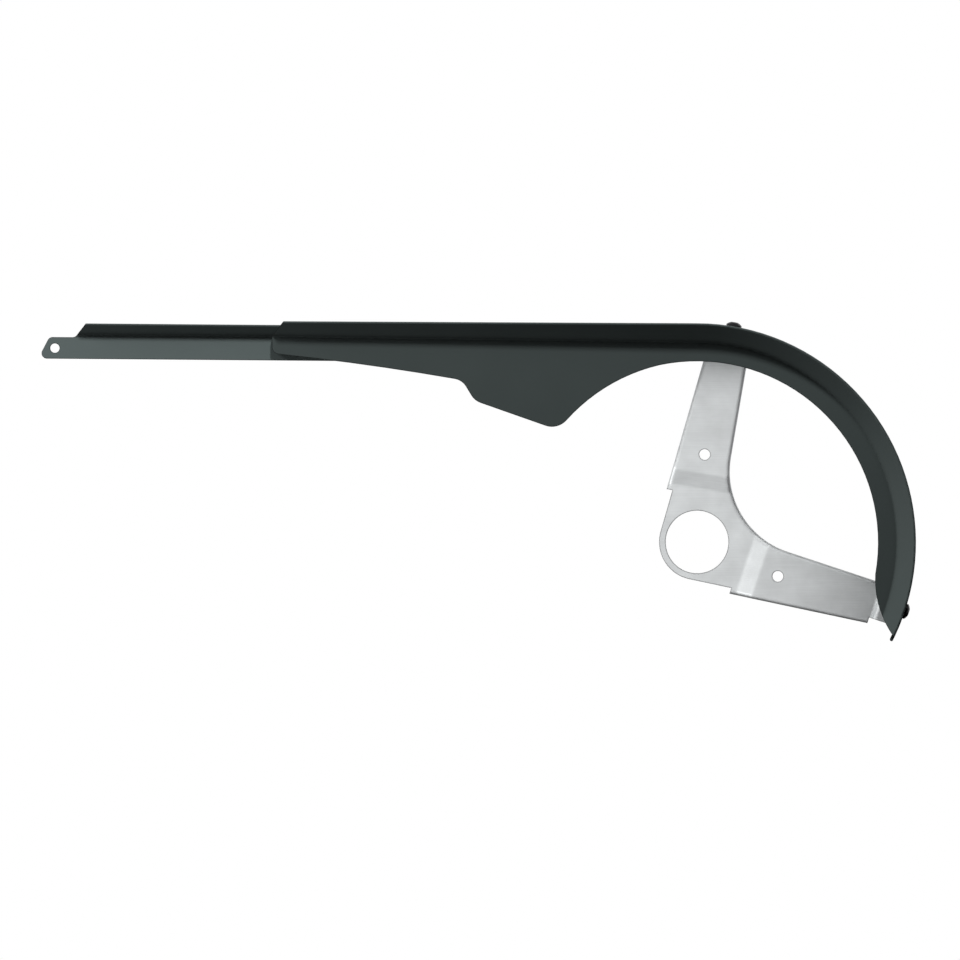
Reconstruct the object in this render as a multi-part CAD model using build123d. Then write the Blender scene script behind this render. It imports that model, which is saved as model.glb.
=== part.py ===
import os
from math import cos, hypot, radians, sin, sqrt, tan

from build123d import *

# A bicycle chain guard: a moulded guard with a telescoping rear extension, held round the chainring by a
# pressed sheet-metal bracket that is clamped at the bottom bracket.
# X points to the front of the bicycle, Y inboard and Z up. The origin is the centre of the bracket's large hole.
# "Out" is a distance outboard of that origin, along -Y. Lengths are in millimetres and angles in degrees.

# Guard section: a flat web, a lip that flares outboard from it and a flange that goes inboard over the chain
wall = 1.8
web_out = 28.0
flare_angle = 38.5
flange_edge_out = 10.0
crease_radius = 1.2
lip_edge_radius = 0.7

# Guard round the chainring, as radii about the bottom-bracket axis and angles below straight ahead
rim_radius = 122.1
lip_height = 10.6
web_depth = 10.55
nose_start_angle = 10.0
nose_edge_radius = 54.0
nose_tip_angle = 25.5
nose_tip_inset = 0.8
flange_end_angle = 26.9
flange_end_radius = 0.8

# Straight run over the chain, from above the bottom bracket to its open rear end
run_length = 236.8
rim_rise = 1.15
crease_rise = 3.4
rear_web_depth = 9.65
rear_web_bow = 0.95
rear_corner_radius = 4.0
end_slant_angle = 37.6

# Fin below the run, with a stepped rear edge and a front edge that leaves the web's arc
shoulder_x = -130.8
shoulder_depth = 21.1
shoulder_radius = 9.0
heel_x = -123.9
heel_depth = 32.55
heel_radius = 10.0
fin_start_angle = 11.8
fin_tip_angle = 51.0
fin_tip_inset = 1.6
fin_tip_radius = 11.0

# Rear extension, which nests behind the lip and web of the run
slide_gap = 0.3
slide_pitch_angle = 0.46
extension_reach = 130.3
extension_overlap = 116.0
extension_web_depth = 13.5
extension_flange_edge_out = 12.0
tab_length = 20.5
tab_drop = 1.45
tab_slant_angle = 27.0
tab_corner_radius = 3.0
tab_hole_radius = 2.6
tab_hole_inset = 9.3
tab_hole_height = 5.9

# Claws behind the web that hold the extension's lower edge, placed from the run's rear end
claw_positions = (56.0, 92.0)
claw_length = 12.0
claw_thickness = 1.5
claw_grip = 3.5

# Bracket: a plate with the bottom-bracket hole and two arms, alike on each side of a bisector
sheet = 2.0
bisector_angle = 31.0
arm_spread_angle = 49.3
hole_radius = 17.5
ring_radius = 21.2
edge_spread_angle = 43.0
flange_start = 26.2
flange_step = 3.3
inner_spread_angle = 49.3
inner_offset = 10.7
crotch_radius = 47.0
joggle_start = 29.5
joggle_end = 38.5
joggle_depth = 5.0
joggle_bend = 3.0
side_flange_depth = 6.5
side_bend = 2.4
arm_hole_radius = 3.0
arm_hole_distance = 49.0
arm_hole_angle = 54.0

# Straps at the ends of the arms, which step outboard and then turn in under the guard's flange
strap_width = 19.6
strap_reach = 15.4
strap_root = 5.0
strap_step_gap = 1.2
strap_step_run = 2.4
strap_step = 4.0
strap_step_bend = 1.3
strap_bend = 3.0
strap_tip_gap = 0.8
seat_gap = 0.1

# Button-head screws and nuts
screw_out = 21.0
screw_radius = 2.5
screw_clearance = 0.25
screw_tip = 1.0
head_radius = 4.3
head_height = 2.6
head_rim = 0.8
socket_width = 3.0
socket_depth = 1.3
nut_width = 8.0
nut_height = 4.0
nut_chamfer = 0.5
thread_gap = 0.05

# Room left round a shape by the solids that trim or drill it
margin = 20.0

# Heights and places that follow from these sizes
lip_lean = tan(radians(flare_angle))
crease_height = rim_radius - lip_height
web_radius = crease_height - web_depth
flange_inner_radius = rim_radius - wall
rear_rim = rim_radius + rim_rise
rear_crease = crease_height + crease_rise
extension_out = web_out - (wall + slide_gap) / cos(radians(flare_angle))
extension_lip = rear_rim - rear_crease - wall - slide_gap
plate_out = sheet / 2
arm_out = plate_out + joggle_depth
flange_line = ring_radius + flange_step
strap_seat = sqrt((flange_inner_radius - seat_gap) ** 2 - (strap_width / 2) ** 2)
arm_length = strap_seat - strap_reach
strap_step_start = arm_length + strap_step_gap
arm_angles = {
    "upper": 90 - bisector_angle - arm_spread_angle,
    "front": 90 - bisector_angle + arm_spread_angle,
}


def turned(angle):
    """The direction at an angle in a flat shape, as cosine and sine."""
    return cos(radians(angle)), sin(radians(angle))


# Section plane of the guard, with heights along its X and distances outboard along its Y
section_plane = Plane(origin=(0, 0, 0), x_dir=(0, 0, 1), z_dir=(1, 0, 0))

# Where the extension's crease passes the guard's rear end, with X along the slide
extension_frame = Pos(-run_length, 0, rear_crease) * Rot(0, slide_pitch_angle, 0)

# The bracket is drawn flat, with X along its bisector and Z outboard, and then stood up in its place
bracket_plane = Plane(
    origin=(0, 0, 0),
    x_dir=(turned(bisector_angle)[0], 0, turned(bisector_angle)[1]),
    z_dir=(0, -1, 0),
)

# Side view of one arm in that drawing, with X along the arm and Y outboard
arm_side = Plane(
    origin=(0, 0, 0),
    x_dir=(turned(arm_spread_angle)[0], turned(arm_spread_angle)[1], 0),
    z_dir=(turned(arm_spread_angle)[1], -turned(arm_spread_angle)[0], 0),
)


# The moulded guard and its extension


def ahead(angle):
    """A direction of the side view, at an angle turned forwards from straight up."""
    return Vector(sin(radians(angle)), cos(radians(angle)))


def corner(shape, point, radius):
    """Round the corner of a flat shape that lies nearest to a point."""
    vertex = shape.vertices().sort_by_distance(point)[0]
    return fillet(vertex, radius)


def lip_back_out(crease, face_out, height):
    """How far outboard the back of the flared lip lies at a height."""
    return face_out + (height - crease) * lip_lean - wall / cos(radians(flare_angle))


def folded_section(foot, crease, rim, face_out, edge_out):
    """The folded wall in section, from the web's foot over the lip to the flange's edge."""
    lip_out = face_out + (rim - crease) * lip_lean
    inner_rim = rim - wall
    inner_crease = crease + wall * tan(radians(flare_angle / 2))
    section = make_face(
        Polyline(
            (foot, face_out),
            (crease, face_out),
            (rim, lip_out),
            (rim, edge_out),
            (inner_rim, edge_out),
            (inner_rim, lip_back_out(crease, face_out, inner_rim)),
            (inner_crease, face_out - wall),
            (foot, face_out - wall),
            close=True,
        )
    )
    section = corner(section, (crease, face_out), crease_radius)
    section = corner(section, (inner_crease, face_out - wall), crease_radius + wall)
    return corner(section, (rim, lip_out), lip_edge_radius)


def guard_outline():
    """Side view of the guard's web, ends and fin, left open above the rim."""
    top = rim_radius + margin
    rear_top = Vector(-run_length + (top - rear_crease) * tan(radians(end_slant_angle)), top)
    rear_bend = Vector(-run_length, rear_crease)
    rear_foot = Vector(-run_length, rear_crease - rear_web_depth)
    shoulder = Vector(shoulder_x, crease_height - shoulder_depth)
    heel = Vector(heel_x, crease_height - heel_depth)
    fin_tip = ahead(-fin_tip_angle) * (web_radius - fin_tip_inset)
    fin_middle = ahead(-(fin_start_angle + fin_tip_angle) / 2) * (web_radius - fin_tip_inset / 2)
    fin_foot = ahead(-fin_start_angle) * web_radius
    nose_foot = ahead(90 + nose_start_angle) * web_radius
    nose_tip = ahead(90 + nose_tip_angle) * (rim_radius - nose_tip_inset)
    outline = make_face(
        [
            Polyline(rear_top, rear_bend, rear_foot),
            SagittaArc(rear_foot, shoulder, rear_web_bow),
            Polyline(shoulder, heel, fin_tip),
            ThreePointArc(fin_tip, fin_middle, fin_foot),
            ThreePointArc(fin_foot, ahead(45) * web_radius, nose_foot),
            RadiusArc(nose_foot, nose_tip, -nose_edge_radius),
            Polyline(nose_tip, ahead(90 + nose_tip_angle) * top, (top, top), rear_top),
        ]
    )
    corner_radii = [
        (rear_bend, rear_corner_radius),
        (rear_foot, rear_corner_radius),
        (shoulder, shoulder_radius),
        (heel, heel_radius),
        (fin_tip, fin_tip_radius),
    ]
    for point, radius in corner_radii:
        outline = corner(outline, point, radius)
    return outline


def main_guard():
    """The guard: its section turned round the chainring, drawn out along the run and cut to its outline."""
    foot = web_radius * cos(radians(fin_tip_angle)) - margin
    front = section_plane * folded_section(foot, crease_height, rim_radius, web_out, flange_edge_out)
    rear_plane = section_plane.offset(-run_length)
    rear = rear_plane * folded_section(foot, rear_crease, rear_rim, web_out, flange_edge_out)
    arc = revolve(front, axis=Axis.Y, revolution_arc=90 + flange_end_angle)
    run = loft([front, rear], ruled=True)
    guard = (arc + run) & extrude(Plane.XZ * guard_outline(), amount=2 * web_out)
    guard += arc_flange()
    for position in claw_positions:
        guard += extension_frame * claw(position)
    for angle in arm_angles.values():
        guard -= arm_place(angle, rim_radius) * Cylinder(screw_radius + screw_clearance, margin)
    return guard


def arc_flange():
    """The flange over the chainring, which goes on a little past the nose's tip."""
    edge_out = lip_back_out(crease_height, web_out, flange_inner_radius)
    strip = make_face(
        Polyline(
            (flange_inner_radius, flange_edge_out),
            (rim_radius, flange_edge_out),
            (rim_radius, edge_out),
            (flange_inner_radius, edge_out),
            close=True,
        )
    )
    flange = revolve(section_plane * strip, axis=Axis.Y, revolution_arc=90 + flange_end_angle)
    end = ahead(90 + flange_end_angle) * rim_radius
    end_edges = flange.edges().filter_by(Axis.Y).sort_by_distance((end.X, -edge_out, end.Y))[:2]
    return fillet(end_edges, flange_end_radius)


def claw(position):
    """A hook behind the web, under and behind the extension's lower edge."""
    ledge_top = -extension_web_depth - slide_gap
    ledge_bottom = ledge_top - claw_thickness
    root_out = web_out - wall / 2
    hook_out = extension_out - wall - slide_gap
    hook = make_face(
        Polyline(
            (ledge_bottom, root_out),
            (ledge_bottom, hook_out - claw_thickness),
            (ledge_top + claw_grip, hook_out - claw_thickness),
            (ledge_top + claw_grip, hook_out),
            (ledge_top, hook_out),
            (ledge_top, root_out),
            close=True,
        )
    )
    return Pos(position, 0, 0) * extrude(section_plane * hook, amount=claw_length)


def rear_extension():
    """The slimmer moulding that slides in the run and carries the rear tab."""
    section = folded_section(-extension_web_depth, 0, extension_lip, extension_out, extension_flange_edge_out)
    length = extension_reach + extension_overlap
    blank = Pos(-extension_reach, 0, 0) * extrude(section_plane * section, amount=length)
    top = extension_lip + margin
    lip_x = -extension_reach + tab_length
    tab_lean = (extension_web_depth - tab_drop) * tan(radians(tab_slant_angle))
    outline = make_face(
        FilletPolyline(
            (lip_x + (top + tab_drop) * tan(radians(end_slant_angle)), top),
            (lip_x, -tab_drop),
            (-extension_reach + tab_lean, -tab_drop),
            (-extension_reach, -extension_web_depth),
            (extension_overlap, -extension_web_depth),
            (extension_overlap, top),
            close=True,
            radius=tab_corner_radius,
        )
    )
    hole_place = Pos(-extension_reach + tab_hole_inset, tab_hole_height - extension_web_depth)
    outline -= hole_place * Circle(tab_hole_radius)
    return extension_frame * (blank & extrude(Plane.XZ * outline, amount=2 * web_out))


# The pressed bracket


def edge_point(offset, distance):
    """On a line along the arm's outer edge, at a distance along the arm."""
    along_cos, along_sin = turned(edge_spread_angle)
    turn_cos, turn_sin = turned(arm_spread_angle - edge_spread_angle)
    along = (distance - offset * turn_sin) / turn_cos
    return (along * along_cos - offset * along_sin, along * along_sin + offset * along_cos)


def inner_point(offset, distance):
    """On a line along the arm's inner edge, at a distance along the arm."""
    along_cos, along_sin = turned(inner_spread_angle)
    turn_cos, turn_sin = turned(inner_spread_angle - arm_spread_angle)
    along = (distance - offset * turn_sin) / turn_cos
    return (along * along_cos + offset * along_sin, along * along_sin - offset * along_cos)


crotch_centre = (crotch_radius + inner_offset) / turned(inner_spread_angle)[1]


def crotch_points(radius):
    """Half of the round between the arms, from the arm's inner edge to the bisector."""
    points = []
    for angle in (90 - inner_spread_angle, (90 - inner_spread_angle) / 2, 0):
        direction_cos, direction_sin = turned(angle)
        points.append((crotch_centre - radius * direction_cos, radius * direction_sin))
    return points


def joggle_layer(front, back):
    """The stepped sheet between two depths behind its outboard face, drawn along the arm."""
    faces = []
    for depth in (front, back):
        faces.append(
            FilletPolyline(
                (-arm_length, plate_out - depth),
                (joggle_start, plate_out - depth),
                (joggle_end, arm_out - depth),
                (arm_length + margin, arm_out - depth),
                radius=joggle_bend,
            )
        )
    ends = [Line(faces[0] @ 0, faces[1] @ 0), Line(faces[0] @ 1, faces[1] @ 1)]
    return extrude(arm_side * make_face(faces + ends), amount=arm_length, both=True)


def bend_edges(half):
    """The outboard edges along the arm's two side flanges and the round between the arms."""
    near = 0.01
    edges = []
    for edge in half.edges():
        point = edge @ 0.5
        along = point.X * turned(arm_spread_angle)[0] + point.Y * turned(arm_spread_angle)[1]
        outer = point.Y * turned(edge_spread_angle)[0] - point.X * turned(edge_spread_angle)[1]
        inner = point.X * turned(inner_spread_angle)[1] - point.Y * turned(inner_spread_angle)[0]
        crotch = hypot(point.X - crotch_centre, point.Y)
        to_side = min(abs(outer - flange_line), abs(inner - inner_offset), abs(crotch - crotch_radius))
        if to_side < near and point.Z > plate_out - near and near < along < arm_length - near:
            edges.append(edge)
    return edges


def half_bracket():
    """One arm and its half of the plate, on one side of the bisector."""
    ring = []
    for angle in (0, (90 - edge_spread_angle) / 2, 90 - edge_spread_angle):
        ring.append((-ring_radius * turned(angle)[0], ring_radius * turned(angle)[1]))
    crotch = crotch_points(crotch_radius)
    crotch_back = crotch_points(crotch_radius + sheet)
    web = make_face(
        [
            ThreePointArc(*ring),
            Polyline(
                ring[-1],
                edge_point(ring_radius, flange_start),
                edge_point(flange_line, flange_start),
                edge_point(flange_line, arm_length),
                inner_point(inner_offset, arm_length),
                crotch[0],
            ),
            ThreePointArc(*crotch),
            Line(crotch[-1], ring[0]),
        ]
    )
    outer_flange = make_face(
        Polyline(
            edge_point(flange_line - sheet, flange_start),
            edge_point(flange_line, flange_start),
            edge_point(flange_line, arm_length),
            edge_point(flange_line - sheet, arm_length),
            close=True,
        )
    )
    inner_flange = make_face(
        [
            Polyline(
                crotch_back[0],
                inner_point(inner_offset - sheet, arm_length),
                inner_point(inner_offset, arm_length),
                crotch[0],
            ),
            ThreePointArc(*crotch),
            Line(crotch[-1], crotch_back[-1]),
            ThreePointArc(*crotch_back),
        ]
    )
    height = joggle_depth + side_flange_depth + sheet
    skin = extrude(web, amount=height, both=True) & joggle_layer(0, sheet)
    sides = extrude(outer_flange + inner_flange, amount=height, both=True)
    half = skin + (sides & joggle_layer(0, side_flange_depth))
    half = fillet(bend_edges(half), side_bend)
    hole_cos, hole_sin = turned(arm_hole_angle)
    hole_place = Pos(arm_hole_distance * hole_cos, arm_hole_distance * hole_sin)
    half -= hole_place * Cylinder(arm_hole_radius, 2 * height)
    return half + arm_side * strap()


def strap():
    """The strip that steps outboard at the arm's end and turns to lie against the flange from inside."""
    middle_out = arm_out - sheet / 2
    tab_middle = strap_seat - sheet / 2
    tip_out = lip_back_out(crease_height, web_out, strap_seat - sheet) - strap_tip_gap
    path = FilletPolyline(
        (arm_length - strap_root, middle_out),
        (strap_step_start, middle_out),
        (strap_step_start + strap_step_run, middle_out + strap_step),
        (tab_middle, middle_out + strap_step),
        (tab_middle, tip_out),
        radius=[strap_step_bend, strap_step_bend, strap_bend],
    )
    strip = extrude(trace(path, sheet), amount=strap_width / 2, both=True)
    drill = Cylinder(screw_radius + screw_clearance, 2 * sheet, rotation=(0, 90, 0))
    return strip - Pos(tab_middle, screw_out, 0) * drill


def bracket():
    """The whole bracket, both halves with the bottom-bracket hole."""
    half = half_bracket()
    whole = half + mirror(half, about=Plane.XZ)
    whole -= Cylinder(hole_radius, 2 * sheet)
    return bracket_plane.location * whole


# Screws and nuts through the rim at the end of each arm


def arm_place(angle, radius):
    """A place on an arm's axis, with Z pointing out through the rim."""
    return Rot(0, angle, 0) * Pos(0, -screw_out, radius)


def screw():
    """A button-head screw with a hexagon socket, seated at its origin."""
    dome = head_height - head_rim
    dome_radius = (head_radius**2 + dome**2) / (2 * dome)
    profile = make_face(
        [
            Polyline((0, head_height), (0, 0), (head_radius, 0), (head_radius, head_rim)),
            RadiusArc((0, head_height), (head_radius, head_rim), dome_radius),
        ]
    )
    head = revolve(Plane.XZ * profile, axis=Axis.Z)
    socket = extrude(RegularPolygon(socket_width / 2, 6, major_radius=False), amount=-socket_depth)
    head -= Pos(0, 0, head_height) * socket
    length = rim_radius - strap_seat + sheet + nut_height + screw_tip
    return head + Cylinder(screw_radius, length, align=(Align.CENTER, Align.CENTER, Align.MAX))


def nut():
    """A hexagon nut with chamfered corners, seated at its origin with its body towards the axle."""
    body = extrude(RegularPolygon(nut_width / 2, 6, major_radius=False), amount=-nut_height)
    blank = Cylinder(nut_width / sqrt(3), nut_height, align=(Align.CENTER, Align.CENTER, Align.MAX))
    body &= chamfer(blank.edges().filter_by(GeomType.CIRCLE), nut_chamfer)
    return body - Cylinder(screw_radius + thread_gap, 2 * nut_height + margin)


os.makedirs("parts", exist_ok=True)
nodes = {
    "main_guard": main_guard(),
    "rear_extension": rear_extension(),
    "bracket": bracket(),
}
for side, angle in arm_angles.items():
    nodes[f"{side}_screw"] = arm_place(angle, rim_radius) * screw()
    nodes[f"{side}_nut"] = arm_place(angle, strap_seat - sheet) * nut()
for name, solid in nodes.items():
    export_step(solid, f"parts/{name}.step")
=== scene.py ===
import math

import bpy
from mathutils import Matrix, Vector

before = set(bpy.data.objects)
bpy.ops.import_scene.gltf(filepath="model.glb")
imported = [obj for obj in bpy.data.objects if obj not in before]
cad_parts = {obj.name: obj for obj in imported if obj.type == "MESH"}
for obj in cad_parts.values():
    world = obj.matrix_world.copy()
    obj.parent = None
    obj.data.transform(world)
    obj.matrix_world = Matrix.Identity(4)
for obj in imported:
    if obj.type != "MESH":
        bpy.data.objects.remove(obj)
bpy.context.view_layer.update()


# Main guard
# The long moulding over the chain and round the chainring. It is injection moulded in black plastic, with
# the fine satin grain of a spark-eroded mould, and the bracket's two screws hold it by its flange.
GUARD_COLOUR = (0.0645, 0.0785, 0.0770)
PLASTIC_SHEEN = 0.04
PLASTIC_ROUGHNESS = (0.47, 0.57)
CLOUD_SIZE = 0.03
CLOUD_TONES = (0.93, 1.07)
GRAIN_SIZE = 0.0004
GRAIN_STRENGTH = 0.12
RELIEF_DEPTH = 0.0001
MOULD_EDGE = 0.0009
EDGE_TURN = (0.99, 0.88)
# The crease constants paint shade into the inner corners: a dark line where the lip meets the web, fading
# out towards the front of the arc.
CREASE_WIDTH = 0.004
CREASE_OPENNESS = (0.95, 0.90)
CREASE_FADE = (0.03, 0.09)
CREASE_LEFT = 0.2
# Painted shade: the tone of the dark lines along the edges and in the creases.
PAINTED_SHADE_TONE = 0.1


def shade(colour, share):
    """A colour made darker or lighter, as a colour socket takes it."""
    return (*[share * part for part in colour], 1)


def graded(tree, value, span, results=(0.0, 1.0)):
    """Turn a span of a value into a span of results, and stop at both ends."""
    grade = tree.nodes.new("ShaderNodeMapRange")
    grade.inputs["From Min"].default_value = span[0]
    grade.inputs["From Max"].default_value = span[1]
    grade.inputs["To Min"].default_value = results[0]
    grade.inputs["To Max"].default_value = results[1]
    tree.links.new(value, grade.inputs["Value"])
    return grade


def patches(tree, place, size, detail):
    """Soft random patches of about one size."""
    noise = tree.nodes.new("ShaderNodeTexNoise")
    noise.inputs["Scale"].default_value = 1 / size
    noise.inputs["Detail"].default_value = detail
    tree.links.new(place, noise.inputs["Vector"])
    return noise.outputs["Fac"]


def tone_mix(tree, share):
    """A mix of two colours, by a share that changes over the piece."""
    mix = tree.nodes.new("ShaderNodeMix")
    mix.data_type = "RGBA"
    tree.links.new(share, mix.inputs["Factor"])
    return mix


def edge_line(tree, width):
    """Normals that round off the edges over a small width, and a mask of the line that they take up."""
    rounded = tree.nodes.new("ShaderNodeBevel")
    rounded.samples = 6
    rounded.inputs["Radius"].default_value = width
    surface = tree.nodes.new("ShaderNodeNewGeometry")
    facing = tree.nodes.new("ShaderNodeVectorMath")
    facing.operation = "DOT_PRODUCT"
    tree.links.new(rounded.outputs["Normal"], facing.inputs[0])
    tree.links.new(surface.outputs["Normal"], facing.inputs[1])
    line = graded(tree, facing.outputs["Value"], EDGE_TURN)
    return rounded.outputs["Normal"], line.outputs["Result"]


def painted_crease_shade(tree, place):
    """A mask of painted shade in the inner corners, which goes faint towards the front of the arc."""
    hollow = tree.nodes.new("ShaderNodeAmbientOcclusion")
    hollow.only_local = True
    hollow.samples = 8
    hollow.inputs["Distance"].default_value = CREASE_WIDTH
    crease = graded(tree, hollow.outputs["AO"], CREASE_OPENNESS)
    spot = tree.nodes.new("ShaderNodeSeparateXYZ")
    tree.links.new(place, spot.inputs["Vector"])
    fade = graded(tree, spot.outputs["X"], CREASE_FADE, (1.0, CREASE_LEFT))
    tree.links.new(fade.outputs["Result"], crease.inputs["To Max"])
    return crease.outputs["Result"]


def add_relief(tree, height, strength, edge_normal):
    """Raise a fine relief on the surface, over its rounded edges."""
    relief = tree.nodes.new("ShaderNodeBump")
    relief.inputs["Strength"].default_value = strength
    relief.inputs["Distance"].default_value = RELIEF_DEPTH
    tree.links.new(height, relief.inputs["Height"])
    tree.links.new(edge_normal, relief.inputs["Normal"])
    tree.links.new(relief.outputs["Normal"], tree.nodes["Principled BSDF"].inputs["Normal"])


def moulded_plastic(name, colour):
    """Black moulded plastic: pebbled grain, faint clouds from the melt, and painted shade as dark lines at
    edges and creases.
    """
    plastic = bpy.data.materials.new(name)
    plastic.use_nodes = True
    tree = plastic.node_tree
    shader = tree.nodes["Principled BSDF"]
    shader.inputs["Specular IOR Level"].default_value = PLASTIC_SHEEN
    place = tree.nodes.new("ShaderNodeTexCoord").outputs["Object"]

    clouds = patches(tree, place, CLOUD_SIZE, detail=4)
    cloud_tone = tone_mix(tree, clouds)
    cloud_tone.inputs["A"].default_value = shade(colour, CLOUD_TONES[0])
    cloud_tone.inputs["B"].default_value = shade(colour, CLOUD_TONES[1])
    gloss = graded(tree, clouds, (0.0, 1.0), PLASTIC_ROUGHNESS)
    tree.links.new(gloss.outputs["Result"], shader.inputs["Roughness"])

    edge_normal, edge = edge_line(tree, MOULD_EDGE)
    # The edge and crease masks paint shade: the colour goes dark along the rounded edges and in the
    # creases.
    painted_shade_line = tree.nodes.new("ShaderNodeMath")
    painted_shade_line.operation = "MAXIMUM"
    tree.links.new(edge, painted_shade_line.inputs[0])
    tree.links.new(painted_crease_shade(tree, place), painted_shade_line.inputs[1])
    shade_line_tone = tone_mix(tree, painted_shade_line.outputs["Value"])
    tree.links.new(cloud_tone.outputs["Result"], shade_line_tone.inputs["A"])
    shade_line_tone.inputs["B"].default_value = shade(colour, PAINTED_SHADE_TONE)
    tree.links.new(shade_line_tone.outputs["Result"], shader.inputs["Base Color"])

    grain = patches(tree, place, GRAIN_SIZE, detail=2)
    add_relief(tree, grain, GRAIN_STRENGTH, edge_normal)
    return plastic


def finish_node(name, material):
    """Give a piece of the frame its finish."""
    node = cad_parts[name]
    node.data.materials.clear()
    node.data.materials.append(material)


finish_node("main_guard", moulded_plastic("guard_plastic", GUARD_COLOUR))


# Rear extension
# The slimmer moulding that slides in the guard's run and carries the rear tab. It is moulded in the same
# kind of plastic. Its web is painted paler than the guard's as a painted sheen, and the plastic above the
# crease is painted darker again as painted shade.
EXTENSION_COLOUR = (0.118, 0.144, 0.142)
LIP_LINE = 0.1115
LIP_FALL = 0.008
LIP_BLEND = 0.0002
LIP_SHADE = (0.47, 0.47, 0.47, 1)


def paint_lip_shade(plastic):
    """Paint shade on the plastic above the crease, along a line which falls a little towards the front."""
    tree = plastic.node_tree
    shader = tree.nodes["Principled BSDF"]
    web_colour = shader.inputs["Base Color"].links[0].from_socket
    place = tree.nodes.new("ShaderNodeTexCoord")
    height = tree.nodes.new("ShaderNodeVectorMath")
    height.operation = "DOT_PRODUCT"
    height.inputs[1].default_value = (LIP_FALL, 0, 1)
    tree.links.new(place.outputs["Object"], height.inputs[0])
    lip = graded(tree, height.outputs["Value"], (LIP_LINE - LIP_BLEND, LIP_LINE + LIP_BLEND))
    # Painted shade: the lip above the crease is multiplied darker.
    lip_shade_tone = tone_mix(tree, lip.outputs["Result"])
    lip_shade_tone.blend_type = "MULTIPLY"
    lip_shade_tone.inputs["B"].default_value = LIP_SHADE
    tree.links.new(web_colour, lip_shade_tone.inputs["A"])
    tree.links.new(lip_shade_tone.outputs["Result"], shader.inputs["Base Color"])


extension_plastic = moulded_plastic("extension_plastic", EXTENSION_COLOUR)
paint_lip_shade(extension_plastic)
finish_node("rear_extension", extension_plastic)


# Bracket
# The pressed holder that is clamped at the bottom bracket. It is cut and folded from plated sheet steel,
# with the fine lines of the rolling mill in its satin face.
STEEL_COLOUR = (0.632, 0.648, 0.653)
STEEL_ROUGHNESS = (0.5, 0.64)
ROLLING_LINE = 0.0005
ROLLING_STRETCH = 0.02
ROLLING_ANGLE = math.radians(31)
ROLLING_STRENGTH = 0.08
STAIN_SIZE = 0.014
STAIN_SPAN = (0.3, 0.7)
STAIN_TONES = (0.88, 1.12)
STREAK_SHARE = 0.3
SHEARED_EDGE = 0.0012
# Painted shade: the tone that the rounded edges take.
EDGE_SHADE_TONE = 0.15


def rolled_steel(name, colour, line_angle):
    """Satin plated sheet: fine lines along the rolling direction, soft stains, and painted shade as dark
    edges.
    """
    steel = bpy.data.materials.new(name)
    steel.use_nodes = True
    tree = steel.node_tree
    shader = tree.nodes["Principled BSDF"]
    shader.inputs["Metallic"].default_value = 1.0
    place = tree.nodes.new("ShaderNodeTexCoord").outputs["Object"]

    along = tree.nodes.new("ShaderNodeMapping")
    along.inputs["Rotation"].default_value = (0, line_angle, 0)
    along.inputs["Scale"].default_value = (ROLLING_STRETCH, 1, 1)
    tree.links.new(place, along.inputs["Vector"])
    lines = patches(tree, along.outputs["Vector"], ROLLING_LINE, detail=3)
    edge_normal, edge = edge_line(tree, SHEARED_EDGE)
    add_relief(tree, lines, ROLLING_STRENGTH, edge_normal)

    stains = patches(tree, place, STAIN_SIZE, detail=5)
    streaks = tree.nodes.new("ShaderNodeMix")
    streaks.inputs["Factor"].default_value = STREAK_SHARE
    tree.links.new(stains, streaks.inputs["A"])
    tree.links.new(lines, streaks.inputs["B"])
    stained = graded(tree, streaks.outputs["Result"], STAIN_SPAN)
    stain_tone = tone_mix(tree, stained.outputs["Result"])
    stain_tone.inputs["A"].default_value = shade(colour, STAIN_TONES[0])
    stain_tone.inputs["B"].default_value = shade(colour, STAIN_TONES[1])
    gloss = graded(tree, stains, (0.0, 1.0), STEEL_ROUGHNESS)
    tree.links.new(gloss.outputs["Result"], shader.inputs["Roughness"])

    # Painted shade: the colour goes dark along the rounded edges.
    edge_shade_tone = tone_mix(tree, edge)
    tree.links.new(stain_tone.outputs["Result"], edge_shade_tone.inputs["A"])
    edge_shade_tone.inputs["B"].default_value = shade(colour, EDGE_SHADE_TONE)
    tree.links.new(edge_shade_tone.outputs["Result"], shader.inputs["Base Color"])
    return steel


finish_node("bracket", rolled_steel("bracket_steel", STEEL_COLOUR, ROLLING_ANGLE))


# Screws
# The two button-head screws through the guard's flange. They are steel, blackened in a hot oxide bath,
# which leaves a thin satin skin.
OXIDE_COLOUR = (0.011, 0.011, 0.012)
OXIDE_SHEEN = 0.2
OXIDE_ROUGHNESS = (0.24, 0.38)
FLECK_SIZE = 0.0012
FLECK_TONE = 1.8


def black_oxide(name, colour):
    """Blackened steel: a thin dark skin with small paler flecks where it was handled."""
    oxide = bpy.data.materials.new(name)
    oxide.use_nodes = True
    tree = oxide.node_tree
    shader = tree.nodes["Principled BSDF"]
    shader.inputs["Specular IOR Level"].default_value = OXIDE_SHEEN
    place = tree.nodes.new("ShaderNodeTexCoord").outputs["Object"]
    flecks = patches(tree, place, FLECK_SIZE, detail=4)
    fleck_tone = tone_mix(tree, flecks)
    fleck_tone.inputs["A"].default_value = (*colour, 1)
    fleck_tone.inputs["B"].default_value = shade(colour, FLECK_TONE)
    tree.links.new(fleck_tone.outputs["Result"], shader.inputs["Base Color"])
    gloss = graded(tree, flecks, (0.0, 1.0), OXIDE_ROUGHNESS)
    tree.links.new(gloss.outputs["Result"], shader.inputs["Roughness"])
    return oxide


screw_oxide = black_oxide("screw_oxide", OXIDE_COLOUR)
finish_node("upper_screw", screw_oxide)
finish_node("front_screw", screw_oxide)


# Nuts
# The hexagon nuts inside the bracket's straps. They are cold-formed steel with bright zinc plating, and the
# screws draw them against the straps.
ZINC_COLOUR = (0.62, 0.63, 0.65)

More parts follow.
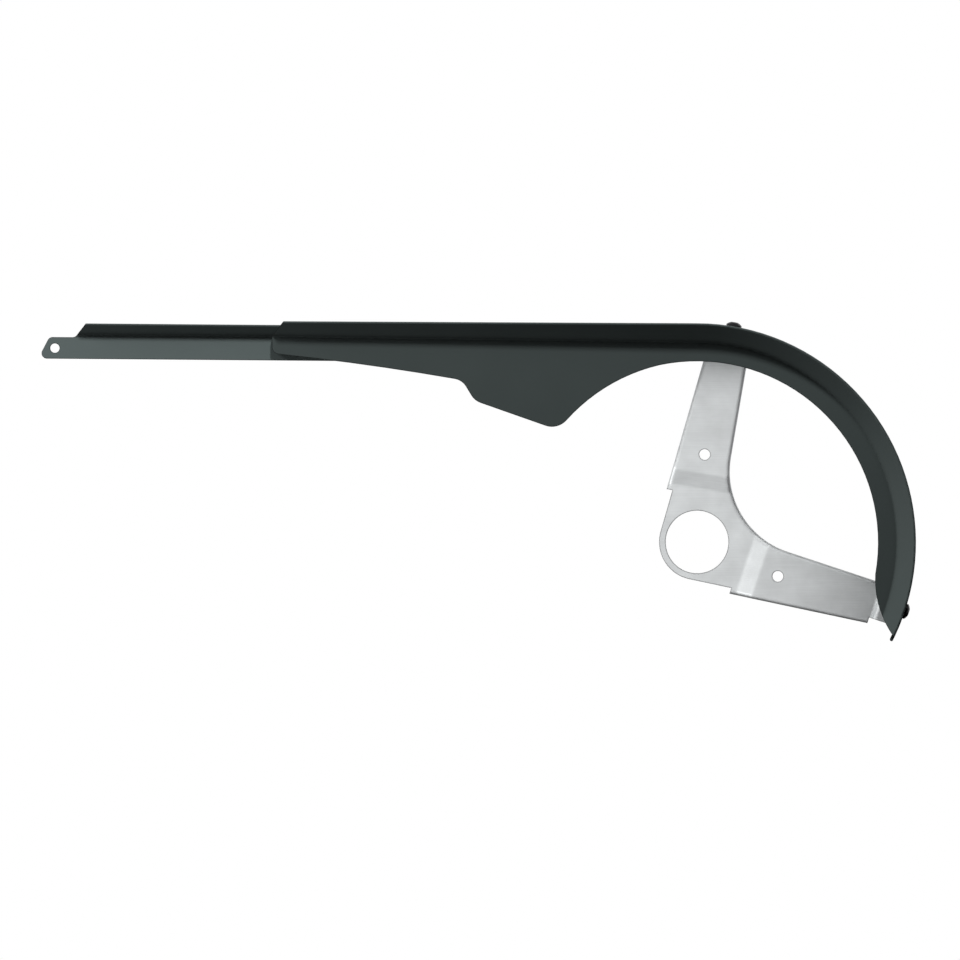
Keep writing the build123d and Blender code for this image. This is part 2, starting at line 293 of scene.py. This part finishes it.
nut_zinc = rolled_steel("nut_zinc", ZINC_COLOUR, 0)
finish_node("upper_nut", nut_zinc)
finish_node("front_nut", nut_zinc)


# Floor
# A plain pale floor at a bicycle's usual height below its bottom bracket. It fades out well away from the
# guard, so that no edge of it shows.
FLOOR_CENTRE = (-0.12, 0, -0.27)
FLOOR_RADIUS = 1.2
FLOOR_FADE = (0.45 * FLOOR_RADIUS, 0.98 * FLOOR_RADIUS)
FLOOR_COLOUR = (0.8, 0.8, 0.8, 1)
FLOOR_ROUGHNESS = 0.9

bpy.ops.object.select_all(action="DESELECT")
bpy.ops.mesh.primitive_circle_add(vertices=96, radius=FLOOR_RADIUS, fill_type="NGON", location=FLOOR_CENTRE)
floor = bpy.context.object
floor.name = "floor"
floor.visible_diffuse = False
floor.visible_glossy = False
floor_paint = bpy.data.materials.new("floor_paint")
floor_paint.use_nodes = True
floor_tree = floor_paint.node_tree
floor_shader = floor_tree.nodes["Principled BSDF"]
floor_shader.inputs["Base Color"].default_value = FLOOR_COLOUR
floor_shader.inputs["Roughness"].default_value = FLOOR_ROUGHNESS
floor_shader.inputs["Specular IOR Level"].default_value = 0.0
floor_place = floor_tree.nodes.new("ShaderNodeTexCoord")
from_centre = floor_tree.nodes.new("ShaderNodeVectorMath")
from_centre.operation = "LENGTH"
floor_tree.links.new(floor_place.outputs["Object"], from_centre.inputs[0])
floor_fade = graded(floor_tree, from_centre.outputs["Value"], FLOOR_FADE, (1.0, 0.0))
floor_fade.interpolation_type = "SMOOTHSTEP"
floor_tree.links.new(floor_fade.outputs["Result"], floor_shader.inputs["Alpha"])
floor.data.materials.append(floor_paint)


# Studio light
# A soft box high in front of the guard, made of two lamps in one place so that reflections see only a fifth
# of it, one high and one low at the rear end, and one behind that lights the back. The world is white to
# the eye and to reflections, and dark to the surfaces.
GUARD_MIDDLE = Vector((-0.12, -0.03, 0.06))
TOP_PLACE = (-0.026, -0.567, 1.129)
TOP_SIZE = 0.12
TOP_SHINE_POWER = 2.7
TOP_MATT_POWER = 10.9
REAR_PLACE = (-0.969, -0.226, 0.550)
REAR_SIZE = 0.25
REAR_POWER = 5.7
LOW_PLACE = (-1.067, -0.226, -0.194)
LOW_SIZE = 0.25
LOW_POWER = 5.5
BACK_PLACE = (0.72, 0.82, 0.26)
BACK_SIZE = 0.35
BACK_POWER = 11.0


def soft_box(name, place, size, power, shines):
    """A square lamp that faces the guard, and that reflections see only where it shines."""
    bpy.ops.object.light_add(type="AREA", location=place)
    lamp = bpy.context.object
    lamp.name = name
    lamp.data.size = size
    lamp.data.energy = power
    lamp.rotation_euler = (GUARD_MIDDLE - Vector(place)).to_track_quat("-Z", "Y").to_euler()
    lamp.visible_glossy = shines


soft_box("top_lamp", TOP_PLACE, TOP_SIZE, TOP_SHINE_POWER, shines=True)
soft_box("matt_lamp", TOP_PLACE, TOP_SIZE, TOP_MATT_POWER, shines=False)
soft_box("rear_lamp", REAR_PLACE, REAR_SIZE, REAR_POWER, shines=False)
soft_box("low_lamp", LOW_PLACE, LOW_SIZE, LOW_POWER, shines=True)
soft_box("back_lamp", BACK_PLACE, BACK_SIZE, BACK_POWER, shines=False)

world = bpy.data.worlds.new("studio")
bpy.context.scene.world = world
world.use_nodes = True
world_tree = world.node_tree
light_path = world_tree.nodes.new("ShaderNodeLightPath")
seen = world_tree.nodes.new("ShaderNodeMath")
seen.operation = "MAXIMUM"
world_tree.links.new(light_path.outputs["Is Camera Ray"], seen.inputs[0])
world_tree.links.new(light_path.outputs["Is Glossy Ray"], seen.inputs[1])
background = world_tree.nodes["Background"]
background.inputs["Color"].default_value = (1, 1, 1, 1)
world_tree.links.new(seen.outputs["Value"], background.inputs["Strength"])


# Black flags
# A ring of black cloth round the back of the guard, a sheet of it below and behind, and a small one in
# front, low at the right. Only reflections see them, and they darken the bends of the bracket and the end
# of its front arm.
QUARTER_TURN = math.radians(90)
RING_RADIUS = 0.45
RING_DEPTH = 0.22
RING_START = -0.04
RING_CENTRE = (0.03, RING_START + RING_DEPTH / 2, 0.0)
LOW_FLAG_SIZE = 0.6
LOW_FLAG_CENTRE = (0.03, 0.25, -0.125)
FRONT_FLAG_SIZE = 0.25
FRONT_FLAG_CENTRE = (0.209, -0.08, -0.085)
FLAG_COLOUR = (0.01, 0.01, 0.01, 1)

flag_cloth = bpy.data.materials.new("flag_cloth")
flag_cloth.use_nodes = True
flag_shader = flag_cloth.node_tree.nodes["Principled BSDF"]
flag_shader.inputs["Base Color"].default_value = FLAG_COLOUR
flag_shader.inputs["Roughness"].default_value = 1.0
flag_shader.inputs["Specular IOR Level"].default_value = 0.0


def black_flag(flag, name):
    """Hang a flag where only reflections see it."""
    flag.name = name
    flag.data.materials.append(flag_cloth)
    flag.visible_camera = False
    flag.visible_diffuse = False
    flag.visible_transmission = False
    flag.visible_shadow = False


bpy.ops.object.select_all(action="DESELECT")
bpy.ops.mesh.primitive_cylinder_add(
    vertices=64,
    radius=RING_RADIUS,
    depth=RING_DEPTH,
    end_fill_type="NOTHING",
    location=RING_CENTRE,
    rotation=(QUARTER_TURN, 0, 0),
)
black_flag(bpy.context.object, "back_flag")
bpy.ops.object.select_all(action="DESELECT")
bpy.ops.mesh.primitive_plane_add(size=LOW_FLAG_SIZE, location=LOW_FLAG_CENTRE)
black_flag(bpy.context.object, "low_flag")
bpy.ops.object.select_all(action="DESELECT")
bpy.ops.mesh.primitive_plane_add(
    size=FRONT_FLAG_SIZE,
    location=FRONT_FLAG_CENTRE,
    rotation=(QUARTER_TURN, 0, 0),
)
black_flag(bpy.context.object, "front_flag")


# Camera
# Nearly square on to the guard from its outboard side, a touch from the front and from above. It stands far
# off, so that the view is nearly without perspective.
VIEW_WIDTH = 0.535
VIEW_CENTRE = Vector((-0.12085, -0.028, 0.0348))
CAMERA_DISTANCE = 20.0
CAMERA_REACH = 100
SENSOR_WIDTH = 36
FROM_FRONT = math.radians(0.6)
FROM_ABOVE = math.radians(0.5)

towards_camera = Vector((math.sin(FROM_FRONT), -math.cos(FROM_FRONT), math.tan(FROM_ABOVE))).normalized()
bpy.ops.object.camera_add(
    location=VIEW_CENTRE + CAMERA_DISTANCE * towards_camera,
    rotation=(QUARTER_TURN - FROM_ABOVE, 0, FROM_FRONT),
)
camera = bpy.context.object
camera.data.sensor_width = SENSOR_WIDTH
camera.data.lens = SENSOR_WIDTH * CAMERA_DISTANCE / VIEW_WIDTH
camera.data.clip_end = CAMERA_REACH
bpy.context.scene.camera = camera
bpy.context.scene.view_settings.view_transform = "Standard"
